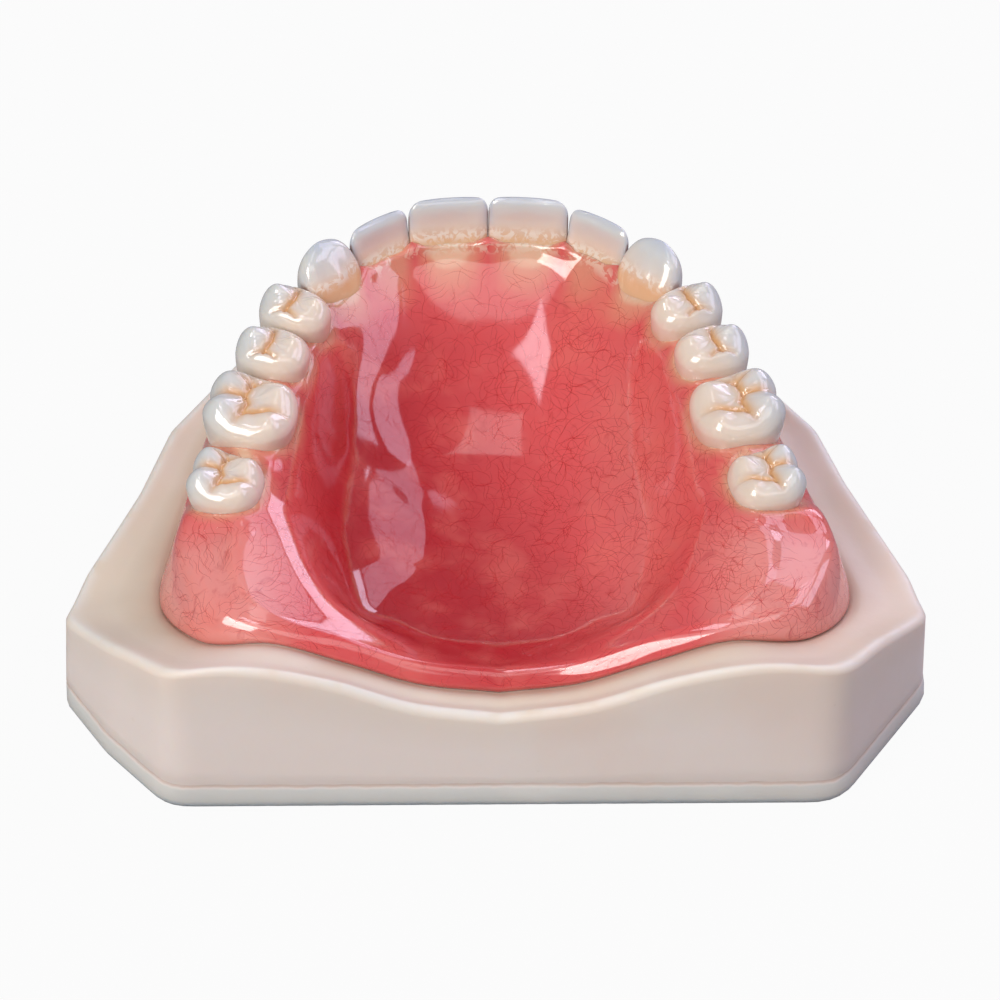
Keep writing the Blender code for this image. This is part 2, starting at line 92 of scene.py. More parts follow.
# corners of the trimmed outline, each with its rounding
OUTLINE = [(0.0, 36.6, 16.0), (21.5, 29.0, 12.0), (34.9, 8.9, 5.0), (37.5, 0.4, 20.0),
           (43.2, -14.2, 6.0), (44.5, -20.8, 4.0), (34.6, -35.7, 5.0), (-33.6, -35.7, 4.5),
           (-39.8, -28.2, 8.0), (-44.5, -20.3, 3.0), (-42.4, -13.0, 8.0), (-37.1, -0.6, 20.0),
           (-34.0, 9.2, 5.0), (-21.5, 29.0, 12.0)]
RIM_Z = [10.8, 10.8, 11.0, 11.2, 11.4, 11.3, 11.4, 13.6, 17.2, 19.2, 17.3, 13.7, 12.1]
RIM_ROUND = 0.9
WALL_DRAFT = 0.25
SEAM_Z = 3.0
FOOT_LIP = 0.3
SEAM_HALF = 0.25
# (inset, height) of the mould seam and down the grey foot
SEAM_STEPS = [(0.10, SEAM_Z), (-0.05, SEAM_Z - SEAM_HALF), (-0.8 * FOOT_LIP, 1.6), (-FOOT_LIP, 1.0),
              (-0.6 * FOOT_LIP, 0.45), (0.05, 0.1), (0.25, 0.0)]
LAND_SAG = 0.25
COLUMNS_PER_TOOTH = 10
HEEL_COLUMNS = 52
LAND_COLOUR = (0.73, 0.64, 0.53)
WALL_COLOUR = (0.87, 0.765, 0.72)
# painted highlight along the rounded rim where the land meets the wall
RIM_HIGHLIGHT_COLOUR = (0.80, 0.80, 0.78)
FOOT_COLOUR = (0.66, 0.65, 0.63)
EDGE_COLOUR = (0.50, 0.54, 0.58)
# painted shade on the land beside the denture border
SHORE_SHADE_COLOUR = (0.54, 0.37, 0.27)
SEAM_COLOUR = (0.60, 0.44, 0.37)
PALE_COLOUR = (0.86, 0.80, 0.76)
ROSY_COLOUR = (0.80, 0.58, 0.48)
FLECK_COLOUR = (0.55, 0.40, 0.30)


class Signal:
    """A node socket in an expression: each operator adds its Math node to the graph."""

    def __init__(self, graph, socket):
        self.graph = graph
        self.socket = socket

    def math(self, operation, first, second=0.0):
        return self.graph.node("ShaderNodeMath", {"operation": operation}, {0: first, 1: second})

    def __add__(self, other):
        return self.math("ADD", self, other)

    def __radd__(self, other):
        return self.math("ADD", other, self)

    def __sub__(self, other):
        return self.math("SUBTRACT", self, other)

    def __rsub__(self, other):
        return self.math("SUBTRACT", other, self)

    def __mul__(self, other):
        return self.math("MULTIPLY", self, other)

    def __rmul__(self, other):
        return self.math("MULTIPLY", other, self)

    def __truediv__(self, other):
        return self.math("DIVIDE", self, other)

    def __abs__(self):
        return self.math("ABSOLUTE", self)

    def rise(self, low, high):
        """0 below low, 1 above high and a smooth step between."""
        ends = {0: self, 1: low, 2: high, 3: 0.0, 4: 1.0}
        return self.graph.node("ShaderNodeMapRange", {"interpolation_type": "SMOOTHSTEP"}, ends)


class Graph:
    """A node tree with one method that makes, sets and links any node."""

    def __init__(self, tree):
        self.tree = tree

    def node(self, kind, settings, inputs, output=0):
        made = self.tree.nodes.new(kind)
        for key, value in settings.items():
            setattr(made, key, value)
        for key, value in inputs.items():
            if isinstance(value, Signal):
                self.tree.links.new(value.socket, made.inputs[key])
            else:
                made.inputs[key].default_value = value
        return Signal(self, made.outputs[output])


class Finish(Graph):
    """A procedural Principled material on the piece's own coordinates and painted values."""

    def __init__(self, name, fixed):
        self.material = bpy.data.materials.new(name)
        self.material.use_nodes = True
        super().__init__(self.material.node_tree)
        self.shader = self.tree.nodes["Principled BSDF"]
        for socket, value in fixed.items():
            self.shader.inputs[socket].default_value = value
        self.place = self.node("ShaderNodeTexCoord", {}, {}, "Object")

    def noise(self, per_metre, detail=2.0, roughness=0.5, distortion=0.0):
        inputs = {"Vector": self.place, "Scale": per_metre, "Detail": detail,
                  "Roughness": roughness, "Distortion": distortion}
        return self.node("ShaderNodeTexNoise", {}, inputs)

    def height(self):
        return self.node("ShaderNodeSeparateXYZ", {}, {0: self.place}, "Z")

    def painted(self, name):
        return self.node("ShaderNodeAttribute", {"attribute_name": name}, {}, "Fac")

    def blend(self, first, second, share):
        """Colour that goes from the first to the second as the share goes from 0 to 1."""
        ends = {}
        for slot, colour in ((6, first), (7, second)):
            ends[slot] = colour if isinstance(colour, Signal) else (*colour, 1.0)
        return self.node("ShaderNodeMix", {"data_type": "RGBA"}, {0: share, **ends}, 2)

    def feed(self, socket, signal):
        self.tree.links.new(signal.socket, self.shader.inputs[socket])

    def bump(self, signal, depth_mm):
        inputs = {"Height": signal, "Strength": 1.0, "Distance": depth_mm * MM}
        self.feed("Normal", self.node("ShaderNodeBump", {}, inputs))


def ramp(value, start, span):
    """0 up to the start, 1 from a span further on, linear between; a negative span runs down."""
    return np.clip((value - start) / span, 0, 1)


def smooth_through(nodes, values, at):
    """Cubic curve through the values at the nodes, read at the given places."""
    nodes = np.asarray(nodes, float)
    values = np.asarray(values, float)
    slope = np.gradient(values, nodes, axis=0)
    at = np.clip(at, nodes[0], nodes[-1])
    left = np.clip(np.searchsorted(nodes, at, side="right") - 1, 0, len(nodes) - 2)
    step = nodes[left + 1] - nodes[left]
    t = (at - nodes[left]) / step
    shape = (-1,) + (1,) * (values.ndim - 1)
    t, step = t.reshape(shape), step.reshape(shape)
    near = (2 * t**3 - 3 * t**2 + 1) * values[left] + (t**3 - 2 * t**2 + t) * step * slope[left]
    far = (3 * t**2 - 2 * t**3) * values[left + 1] + (t**3 - t**2) * step * slope[left + 1]
    return near + far


def skin(name, rings, look):
    """Closed mesh over rings of points in millimetres, with one point closing each end."""
    count = len(rings[1])
    rows = len(rings) - 2
    points = [np.reshape(rings[0], (1, 3)), *rings[1:-1], np.reshape(rings[-1], (1, 3))]
    verts = np.concatenate(points) * MM
    here = 1 + np.arange(count)
    ahead = 1 + (np.arange(count) + 1) % count
    low = count * np.arange(rows - 1)[:, None]
    quads = np.stack([low + here, low + count + here, low + count + ahead, low + ahead], axis=-1)
    last = count * (rows - 1)
    first_fan = np.stack([np.zeros(count, int), here, ahead], axis=-1)
    last_fan = np.stack([last + here, np.full(count, len(verts) - 1), last + ahead], axis=-1)
    faces = quads.reshape(-1, 4).tolist() + first_fan.tolist() + last_fan.tolist()
    mesh = bpy.data.meshes.new(name)
    mesh.from_pydata(verts.tolist(), [], faces)
    shape = bmesh.new()
    shape.from_mesh(mesh)
    bmesh.ops.recalc_face_normals(shape, faces=shape.faces)
    shape.to_mesh(mesh)
    shape.free()
    mesh.shade_smooth()
    mesh.materials.append(look)
    piece = bpy.data.objects.new(name, mesh)
    bpy.context.scene.collection.objects.link(piece)
    return piece


def paint(piece, name, values):
    """Named value on each point of a piece, for its material to read."""
    values = np.asarray(values, np.float32)
    kind, field = ("FLOAT", "value") if values.ndim == 1 else ("FLOAT_VECTOR", "vector")
    piece.data.attributes.new(name, kind, "POINT").data.foreach_set(field, values.ravel())


def per_point(rings, values):
    """One value a ring, repeated for each point of the skin over those rings."""
    counts = [1, *(len(ring) for ring in rings[1:-1]), 1]
    return np.repeat(values, counts)


def arch_line(at):
    """Plan point and outward direction of the arch line, which runs over the tooth contacts."""
    whole = [(-x, y) for x, y in ARCH[:0:-1]] + ARCH
    nodes = np.arange(-LAST_STATION, LAST_STATION + 1)
    point = smooth_through(nodes, whole, at)
    run = smooth_through(nodes, whole, at + 0.05) - smooth_through(nodes, whole, at - 0.05)
    run[np.isclose(at, 0.0)] = (1.0, 0.0)
    run[np.isclose(at, LAST_STATION)] = (-1.0, 0.0)
    run /= np.linalg.norm(run, axis=1)[:, None]
    return point, np.stack([-run[:, 1], run[:, 0]], axis=1)


def mirrored(half):
    """Whole ring from its half on the wearer's left, front midline first."""
    other = half[-2:0:-1] * (-1, 1, 1)
    ring = np.concatenate([half, other])
    ring[:, 0] += HEEL_SKEW * ramp(-ring[:, 1], 2.0, 16.0) * ramp(np.abs(ring[:, 0]), 24.0, 9.0)
    return ring


def inner_ring(at, table, drop=0.0):
    """Ring on the palate side of the arch line, from (share of the way in, height)."""
    point, _ = arch_line(at)
    share, height = smooth_through(STATIONS, table, at).T
    plan = point + share[:, None] * (np.array(PALATE) - point)
    return np.column_stack([plan, height - drop])


def outer_ring(at, table, drop=0.0, shift=0.0):
    """Ring beside the arch line, from (distance out, height)."""
    point, out = arch_line(at)
    reach, height = smooth_through(STATIONS, table, at).T
    return np.column_stack([point + (reach + shift)[:, None] * out, height - drop])


def spline_rings(rings, steps):
    """Extra rings on a smooth curve through the given ones, so many to each span."""
    places = [span + k / count for span, count in enumerate(steps) for k in range(count)]
    return smooth_through(np.arange(len(rings)), np.asarray(rings), np.array([*places, len(steps)]))


def vault_rings(foot, centre_z, shares):
    """Rings of the vault between the foot of the slope and the palate centre."""
    centre = np.array([*PALATE, centre_z])
    return [centre + (foot - centre) * (share, share, share**2) for share in shares]


def tissue_rings(at, gap):
    """Underside of the base from its border to the palate centre, lowered by the gap."""
    under = outer_ring(at, EDGE, EDGE_ROUND + gap, shift=-0.6 * EDGE_ROUND)
    inside = outer_ring(at, EDGE, 0.5 * EDGE_ROUND + gap, shift=-2.0 * EDGE_ROUND - 0.3 * gap)
    ridge_out = outer_ring(at, RIDGE_OUT, gap, shift=-0.5 * gap)
    top = outer_ring(at, RIDGE_TOP, gap)
    ridge_in = inner_ring(at, RIDGE_IN, gap)
    deep = inner_ring(at, FOOT, PALATE_THICK + gap)
    rings = spline_rings([under, inside, ridge_out, top, ridge_in, deep], [2, 2, 4, 4, 4])
    return list(rings) + vault_rings(deep, VAULT_Z - PALATE_THICK - gap, (0.8, 0.55, 0.3, 0.1))


def trimmed_outline():
    """Dense plan outline of the cast: straight runs between rounded corners."""
    path = []
    for i, (x, y, radius) in enumerate(OUTLINE):
        here = np.array([x, y])
        ways = []
        for other in (OUTLINE[i - 1], OUTLINE[(i + 1) % len(OUTLINE)]):
            way = np.array(other[:2]) - here
            ways.append(way / np.linalg.norm(way))
        reach = radius / np.tan(0.5 * np.arccos(np.clip(np.dot(*ways), -1, 1)))
        a, b = here + ways[0] * reach, here + ways[1] * reach
        path += [(1 - t) ** 2 * a + 2 * t * (1 - t) * here + t**2 * b for t in np.linspace(0, 1, 13)]
    path = np.array(path + path[:1])
    steps = np.arange(len(path))
    fine = np.linspace(0, len(path) - 1, 24 * (len(path) - 1), endpoint=False)
    return np.column_stack([np.interp(fine, steps, path[:, 0]), np.interp(fine, steps, path[:, 1])])


def wall_plan(path, directions, inset):
    """Outline met by rays from the palate centre, moved in by the inset."""
    rel = path - np.array(PALATE)
    angle = np.arctan2(rel[:, 1], rel[:, 0]) % (2 * np.pi)
    order = np.argsort(angle)
    turn, reach = angle[order], np.linalg.norm(rel, axis=1)[order]
    wanted = np.arctan2(directions[:, 1], directions[:, 0]) % (2 * np.pi)
    far = np.interp(wanted, np.r_[turn - 2 * np.pi, turn, turn + 2 * np.pi], np.tile(reach, 3))
    unit = directions / np.linalg.norm(directions, axis=1)[:, None]
    return np.array(PALATE) + unit * (far - inset)[:, None]


def cast_skin(at):
    """Rings of the cast from the palate centre out and down the wall, with each ring's painted shares."""
    ridge = [mirrored(ring) for ring in tissue_rings(at, SEAT_GAP)[::-1]]
    shore = mirrored(outer_ring(at, EDGE, 0.35 * EDGE_ROUND, shift=SHORE))
    directions = shore[:, :2] - np.array(PALATE)
    path = trimmed_outline()
    rim_z = smooth_through(STATIONS, RIM_Z, np.concatenate([at, at[-2:0:-1]]))

    def level(inset, height):
        low, high = np.array(cad_box)[:, :2] / MM
        return np.column_stack([np.clip(wall_plan(path, directions, inset), low, high), height])

    rim = [level(WALL_DRAFT + RIM_ROUND * (1 - np.sin(turn)), rim_z - RIM_ROUND * (1 - np.cos(turn)))
           for turn in np.linspace(0, 0.5 * np.pi, 7)]
    middle = 0.5 * (shore + rim[0])
    middle[:, 2] -= LAND_SAG
    land = spline_rings([ridge[-1], shore, middle, rim[0]], [3, 6, 6])[1:-1]
    top, low = rim_z - RIM_ROUND, SEAM_Z + SEAM_HALF
    wall = [level(WALL_DRAFT * (1 - share), top + share * (low - top)) for share in np.linspace(0, 1, 9)[1:]]
    flat = np.zeros(len(directions))
    seam = [level(inset, flat + height) for inset, height in SEAM_STEPS]
    start = np.array([*PALATE, VAULT_Z - PALATE_THICK - SEAT_GAP])
    rings = [start, *ridge, *land, *rim, *wall, *seam, np.array([*PALATE, 0.0])]
    before = len(ridge) + len(land)
    shares = {"wall": [0.0] * (1 + before) + list(np.linspace(0, 1, 11)) + [1.0] * (len(wall) + 4),
              # rim share: where the painted highlight runs along the rounded rim
              "rim": [0.0] * before + [0.3, 0.8, 1.0, 0.9, 0.55, 0.3, 0.1],
              # shore share: where painted shade falls on the land by the denture border
              "shore": [0.0] * (1 + len(ridge)) + list(np.linspace(1, 0, 9))}
    return rings, {name: share + [0.0] * (len(rings) - len(share)) for name, share in shares.items()}


def cast_resin():
    """Cream resin, satin on the trimmed walls, a painted highlight along the rim, painted shade by the
    denture border, and grey at the foot.
    """
    fixed = {"Roughness": 0.45, "Subsurface Weight": 0.25, "Subsurface Radius": (1.0, 0.65, 0.45),
             "Subsurface Scale": 0.0025, "Specular IOR Level": 0.4}
    look = Finish("cast_resin", fixed)
    cloud = look.noise(55, 3)
    fleck = look.noise(900, 3)
    height = look.height() + 0.0006 * (look.noise(420, 3) - 0.5)
    colour = look.blend(LAND_COLOUR, WALL_COLOUR, look.painted("wall"))
    # painted shade, mottled, on the land next to the denture border
    colour = look.blend(colour, SHORE_SHADE_COLOUR, look.painted("shore") * 0.75 * cloud.rise(0.2, 0.6))
    # painted highlight along the rounded rim, broken up by noise
    colour = look.blend(colour, RIM_HIGHLIGHT_COLOUR, look.painted("rim") * 0.55 * look.noise(300, 2).rise(0.25, 0.5))
    seam = abs(height - SEAM_Z * MM)
    colour = look.blend(colour, SEAM_COLOUR, (1 - seam.rise(0.00008, 0.00030)) * 0.55)
    colour = look.blend(colour, FOOT_COLOUR, 1 - height.rise(0.0024, 0.0030))
    colour = look.blend(colour, EDGE_COLOUR, 1 - height.rise(0.0003, 0.0012))
    colour = look.blend(colour, PALE_COLOUR, cloud.rise(0.5, 0.75) * 0.35)
    colour = look.blend(colour, ROSY_COLOUR, look.noise(38, 3).rise(0.48, 0.72) * 0.30)
    colour = look.blend(colour, FLECK_COLOUR, fleck.rise(0.70, 0.82) * 0.18)
    look.feed("Base Color", colour)
    look.feed("Roughness", 0.40 + 0.16 * fleck)
    look.bump(look.noise(260, 3) + 0.25 * fleck, 0.05)
    return look.material


half_way = np.concatenate([np.linspace(0, TEETH_A_SIDE, TEETH_A_SIDE * COLUMNS_PER_TOOTH, endpoint=False),
                           np.linspace(TEETH_A_SIDE, LAST_STATION, HEEL_COLUMNS + 1)])
cast_rings, cast_shares = cast_skin(half_way)
cast = skin("dental_cast", cast_rings, cast_resin())
for name, share in cast_shares.items():
    paint(cast, name, per_point(cast_rings, share))
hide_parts("cast")
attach(cast, "root")


# Denture base
# One shell of heat-cured pink acrylic, polished outside and fitted to the ridge inside. It rises
# over the necks of the teeth, thin enough there for the tooth to show through as peach.

# at each station as above: SLOPE and GUM_IN by share of the way in, the others by distance out
SLOPE = [(0.30, 17.2), (0.30, 17.2), (0.29, 16.9), (0.33, 15.9), (0.40, 14.7), (0.45, 13.8),
         (0.475, 13.2), (0.475, 12.9), (0.45, 12.6), (0.40, 12.1), (0.35, 11.9), (0.31, 11.3), (0.30, 11.2)]
GUM_IN = [(0.08, 22.5), (0.08, 22.5), (0.13, 22.5), (0.17, 22.3), (0.19, 21.6), (0.21, 20.9),
          (0.25, 20.4), (0.27, 19.9), (0.27, 19.0), (0.24, 17.6), (0.19, 15.5), (0.15, 13.2), (0.13, 12.4)]
COLLAR = [(-1.0, 24.3), (-1.1, 24.2), (-1.2, 24.3), (-2.7, 23.3), (-2.9, 22.6), (-2.9, 22.0),
          (-2.9, 22.0), (-2.4, 21.6), (-1.8, 20.8), (-1.1, 19.6), (-1.2, 17.4), (-1.1, 14.5), (-1.1, 13.4)]
CREST = [(0.0, 22.4), (0.0, 22.4), (0.0, 22.2), (0.0, 22.0), (0.0, 21.6), (0.0, 20.9), (0.0, 20.9),
         (0.0, 20.8), (0.0, 20.5), (-0.2, 19.7), (-0.5, 17.5), (-0.5, 14.6), (-0.5, 13.4)]
GUM_OUT = [(2.1, 18.4), (2.4, 18.2), (3.4, 18.2), (3.7, 19.4), (4.5, 19.2), (4.2, 19.3),
           (4.2, 19.9), (3.8, 20.0), (2.7, 19.9), (0.9, 19.4), (0.15, 17.1), (0.1, 14.15), (0.1, 12.95)]
BULGE = [(3.7, 14.8), (3.9, 14.6), (4.6, 14.6), (5.0, 15.2), (5.2, 15.5), (5.4, 16.0),
         (5.6, 16.3), (5.4, 16.7), (4.2, 18.3), (1.6, 18.9), (0.75, 16.5), (0.65, 13.6), (0.6, 12.4)]
PAPILLA = 1.8
EMINENCE = 0.35
ACRYLIC_COLOUR = (0.69, 0.095, 0.098)
# painted shade: deeper red where the palate slopes turn away from the lamps
SHADED_RED_COLOUR = (0.43, 0.016, 0.026)
# painted light: salmon where the heels face up to the lamps
LIT_SALMON_COLOUR = (0.76, 0.27, 0.24)
FILM_COLOUR = (0.71, 0.35, 0.215)
THIN_COLOUR = (0.82, 0.56, 0.39)
# pale acrylic flakes at the front margin, with a painted highlight along that edge
MARGIN_FLAKE_SHEEN_COLOUR = (0.88, 0.74, 0.60)
CLOUD_COLOUR = (0.74, 0.17, 0.14)
STREAK_COLOUR = (0.42, 0.02, 0.03)


def between_teeth(at, power=2):
    """1 at a contact between two teeth, 0 at the middle of a tooth, fading out at the heel."""
    return np.abs(np.cos(np.pi * at)) ** power * ramp(at, TEETH_A_SIDE + 0.6, -1.0)


def base_skin(at):
    """Rings of the base from the palate centre over the gum and border, then back underneath."""
    papilla = between_teeth(at)
    gum_in = inner_ring(at, GUM_IN)
    front_share = ramp(at, 2.2, -0.4)
    collar = outer_ring(at, COLLAR, shift=front_share * (0.15 - 0.4 * papilla))
    collar[:, 2] += 0.25 * PAPILLA * between_teeth(at, 8)
    crest = outer_ring(at, CREST)
    crest[:, 2] += PAPILLA * between_teeth(at, 6)
    gum_out = outer_ring(at, GUM_OUT, shift=-EMINENCE * papilla)
    gum_out[:, 2] += PAPILLA * papilla
    bulge = outer_ring(at, BULGE, shift=-EMINENCE * papilla)
    foot = inner_ring(at, FOOT)
    low = tissue_rings(at, 0.0)
    given = vault_rings(foot, VAULT_Z, (0.34, 0.68)) + [foot, inner_ring(at, SLOPE), gum_in]
    given += [collar, crest, gum_out, bulge, outer_ring(at, EDGE), low[0]]
    polished = spline_rings(given, [3, 4, 6, 8, 4, 4, 5, 6, 5, 4])
    vault = vault_rings(foot, VAULT_Z, (0.05, 0.13, 0.23))
    rings = [np.array([*PALATE, VAULT_Z])]
    rings += [mirrored(ring) for ring in vault + list(polished) + low[1:]]
    return rings + [np.array([*PALATE, VAULT_Z - PALATE_THICK])], 1 + len(vault) + len(polished)


def pink_acrylic():
    """Clear-polished pink with painted shade and light: deeper red on the steep slopes and the wearer's
    right, salmon on the heels and the wearer's left, peach over teeth, pale margin flakes with a painted
    highlight.
    """
    fixed = {"Roughness": 0.07, "IOR": 1.5, "Subsurface Weight": 0.35,
             "Subsurface Radius": (1.0, 0.30, 0.22), "Subsurface Scale": 0.0035, "Specular IOR Level": 1.0}
    look = Finish("pink_acrylic", fixed)
    cloud = look.noise(160, 3)
    streak = look.noise(420, 4, 0.6, 1.2)
    # painted shade: deeper red on the slopes turned away from the lamps
    colour = look.blend(ACRYLIC_COLOUR, SHADED_RED_COLOUR, look.painted("deep"))
    # painted light: salmon on the heels and towards the wearer's left
    colour = look.blend(colour, LIT_SALMON_COLOUR, look.painted("heel"))
    colour = look.blend(colour, CLOUD_COLOUR, cloud.rise(0.45, 0.75) * 0.45)
    colour = look.blend(colour, STREAK_COLOUR, streak.rise(0.55, 0.75) * 0.35)
    film = look.painted("film")
    colour = look.blend(colour, FILM_COLOUR, film * 0.92)
    colour = look.blend(colour, THIN_COLOUR, film.rise(0.73, 0.885) * 0.6)
    # pale acrylic flakes at the front margin, partly a painted highlight along the edge
    flakes_and_sheen = look.noise(650, 3, 0.6, 1.5).rise(0.47, 0.56)
    colour = look.blend(colour, MARGIN_FLAKE_SHEEN_COLOUR, look.painted("margin_with_sheen") * flakes_and_sheen * 0.5)
    look.feed("Base Color", colour)
    look.bump(look.noise(90, 1), 0.04)
    return look.material


acrylic = pink_acrylic()
base_rings, polished_rings = base_skin(half_way)
base = skin("pink_base", base_rings, acrylic)
spot = np.array([v.co for v in base.data.vertices]) / MM
facing = np.array([v.normal for v in base.data.vertices])
# painted shade: deeper red towards the wearer's right and where it is steep; painted light: salmon on the
# heels and, fainter, towards the wearer's left
steep = ramp(facing[:, 2], 0.90, -0.4)
inside = ramp(np.hypot(spot[:, 0], 0.8 * (spot[:, 1] + 6)), 22, -5)
deep = (9.0 - spot[:, 0]) / 17.0 + 0.2 * steep - 0.02 * (spot[:, 1] + 2.0)
paint(base, "deep", inside * np.clip(deep, 0, 1))
heel = ramp(-spot[:, 1], 14.0, 6.0) * ramp(np.abs(spot[:, 0]), 19.0, 6.0)
paint(base, "heel", np.maximum(heel, 0.35 * inside * ramp(spot[:, 0], 8.0, 8.0)))
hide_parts("denture_base")
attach(base, "root")


# Set teeth
# Moulded acrylic teeth, alike on both sides, bonded into the base by their necks. Each is built
# along its own arch span: grey-blue at the biting edge, ivory in the body and amber at the neck.

CONTACT_GAP = 0.01
CONTACT_OUT = 0.6
# name, height of the biting edge, lean outwards and nod backwards in degrees
TEETH = [("central_incisor", 28.6, 4.0, 0.0), ("lateral_incisor", 28.0, 4.0, 0.0),
         ("canine", 28.5, 2.0, 0.0), ("first_premolar", 27.9, 0.0, -1.0),
         ("second_premolar", 27.4, 0.0, -2.0), ("first_molar", 26.6, 0.0, -4.0),
         ("second_molar", 25.1, 2.0, -8.0)]
# sections of a front tooth: depth below the edge, share of the width, face from the arch line, thickness
INCISOR = [(0.0, 0.80, 1.35, 0.35), (0.18, 0.89, 1.48, 0.75), (0.55, 0.955, 1.6, 1.15),
           (1.2, 1.0, 1.75, 1.5), (2.8, 1.0, 2.0, 2.1), (4.4, 0.99, 2.2, 3.0),
           (6.0, 0.94, 2.35, 4.3), (8.0, 0.87, 2.3, 5.2), (10.0, 0.80, 2.1, 5.2), (11.2, 0.68, 1.8, 4.4)]
CANINE = [(0.0, 0.10, 2.15, 0.35), (0.12, 0.30, 2.25, 0.9), (0.4, 0.54, 2.4, 1.6), (0.9, 0.76, 2.6, 2.4),
          (1.9, 0.92, 2.9, 3.5), (3.1, 0.99, 3.1, 4.6), (4.6, 1.0, 3.2, 5.5),
          (6.2, 0.97, 3.15, 6.3), (8.2, 0.90, 3.0, 6.6), (10.2, 0.80, 2.7, 6.2), (11.4, 0.68, 2.3, 5.2)]
NECK_DEPTH = {"central_incisor": 11.4, "lateral_incisor": 11.0, "canine": 11.6}
# back teeth in half widths: cusps as (towards the midline, towards the cheek, height in mm)
PREMOLAR_CUSPS = [(0.04, 0.58, 0.0), (0.12, -0.58, -0.55)]
PREMOLAR_LINES = [((0.66, 0.14), (0.30, 0.06), (-0.05, 0.02), (-0.60, 0.12)), ((0.55, 0.10), (0.74, 0.46)),
                  ((-0.50, 0.10), (-0.72, 0.44)), ((-0.50, 0.10), (-0.66, -0.22))]
MOLAR_CUSPS = [(0.50, 0.62, 0.0), (-0.44, 0.62, -0.1), (0.42, -0.56, -0.45), (-0.58, -0.58, -0.9)]
MOLAR_LINES = [((0.74, 0.16), (0.42, 0.08), (0.06, 0.14), (-0.16, 0.02), (-0.46, 0.06), (-0.70, 0.16)),
               ((0.06, 0.14), (0.03, 0.55), (0.02, 1.05)), ((-0.46, 0.06), (-0.22, -0.50), (-0.14, -1.0)),
               ((0.42, 0.08), (0.70, -0.18)), ((0.42, 0.08), (0.60, 0.40))]
BACK_TEETH = {
    "first_premolar": dict(across=7.6, depth=9.6, taper=0.14, skew=0.05, notch=0.0, dip=1.2,
                           cusps=PREMOLAR_CUSPS, lines=PREMOLAR_LINES),
    "second_premolar": dict(across=7.7, depth=9.0, taper=0.10, skew=0.03, notch=0.0, dip=1.15,
                            cusps=PREMOLAR_CUSPS, lines=PREMOLAR_LINES),
    "first_molar": dict(across=9.7, depth=8.3, taper=0.05, skew=0.12, notch=0.5, dip=1.35,
                        cusps=MOLAR_CUSPS, lines=MOLAR_LINES),
    "second_molar": dict(across=7.8, depth=6.4, taper=0.12, skew=0.12, notch=0.4, dip=1.2,
                         cusps=MOLAR_CUSPS, lines=MOLAR_LINES)}
# slopes of a cusp's ridge inwards, outwards and aside; rims at both ends of the face; grooves
CUSP_IN, CUSP_OUT, CUSP_ASIDE = 2.1, 1.9, 2.7
END_RIM, END_RIM_DROP = 0.74, 1.15
GROOVE_DEPTH, GROOVE_WIDTH = 0.30, 0.055
CUSP_BLEND, DIP_BLEND = 7.0, 6.0
WRINKLE = 0.028
CROWN_ROUND = 2.0
BACK_SIDE = [(0.0, 1.0), (0.15, 0.99), (0.4, 0.95), (0.7, 0.87), (0.9, 0.77), (1.0, 0.62)]
FILM_REACH = 4.0
FRONT_COLUMNS = 64
BACK_COLUMNS = 96
IVORY = (0.77, 0.66, 0.56)
ENAMEL = (0.62, 0.64, 0.64)
BLUE_EDGE = (0.52, 0.56, 0.62)
CONTACT_SHADOW = (0.22, 0.10, 0.08)
AMBER = (0.76, 0.42, 0.20)
FISSURE = (0.66, 0.32, 0.09)
# pale acrylic flakes on the palate side of the front crowns, with a painted highlight on them
FLAKE_SHEEN_COLOUR = (0.86, 0.80, 0.72)


def section(columns, half_width, half_depth, power, taper=0.0, skew=0.0):
    """Superellipse in plan, narrower on its palate side by the taper."""
    turn = 2 * np.pi * (np.arange(columns) + 0.5) / columns
    c, s = np.cos(turn), np.sin(turn)
    x = half_width * np.sign(c) * np.abs(c) ** (2 / power)
    y = half_depth * np.sign(s) * np.abs(s) ** (2 / power)
    across = y / half_depth
    return x * (1 + taper * (across - 1) * 0.5) + skew * half_width * across * 0.5, y


def front_tooth(name, width):
    """Blade-shaped crown: thin edge, hollow palate side between two ridges, thick neck."""
    table = np.array(CANINE if name == "canine" else INCISOR)
    stretch = NECK_DEPTH[name] / table[-1, 0]
    steps = np.arange(len(table))
    fine = np.linspace(0, len(table) - 1, 40)
    rings = []
    for down, share, face, thick in smooth_through(steps, table, fine):
        half = 0.5 * width * share
        x, y = section(FRONT_COLUMNS, half, 0.5 * thick, 2.5)
        side = x / max(half, 0.1)
        hollow = 0.2 * np.exp(-((down - 3.0) / 1.9) ** 2) * np.clip(1 - (side / 0.72) ** 2, 0, 1)
        if name == "canine":
            hollow = hollow - 0.35 * np.exp(-((side / 0.3) ** 2) - ((down - 2.4) / 1.6) ** 2)
        y = y + np.where(y < 0, hollow, 0)
        y = y + face - 0.5 * thick - 0.9 * (x / (0.5 * width)) ** 2 * (0.35 + 0.03 * down)
        x = x * np.where(x < 0, 1 - 0.09 * np.exp(-down / 0.9), 1)
        rings.append(np.column_stack([x, y, np.full(FRONT_COLUMNS, -down * stretch)]))
    high = rings[0].mean(axis=0) + (0, 0, 0.06)
    low = rings[-1].mean(axis=0) - (0, 0, 0.6)
    return [high, *rings, low]


def line_distance(x, y, points):
    """Distance from each place to a polyline."""
    best = np.full(np.shape(x), 9.0)
    for (ax, ay), (bx, by) in zip(points, points[1:]):
        t = np.clip(((x - ax) * (bx - ax) + (y - ay) * (by - ay)) / ((bx - ax) ** 2 + (by - ay) ** 2), 0, 1)
        best = np.minimum(best, np.hypot(x - ax - t * (bx - ax), y - ay - t * (by - ay)))
    return best


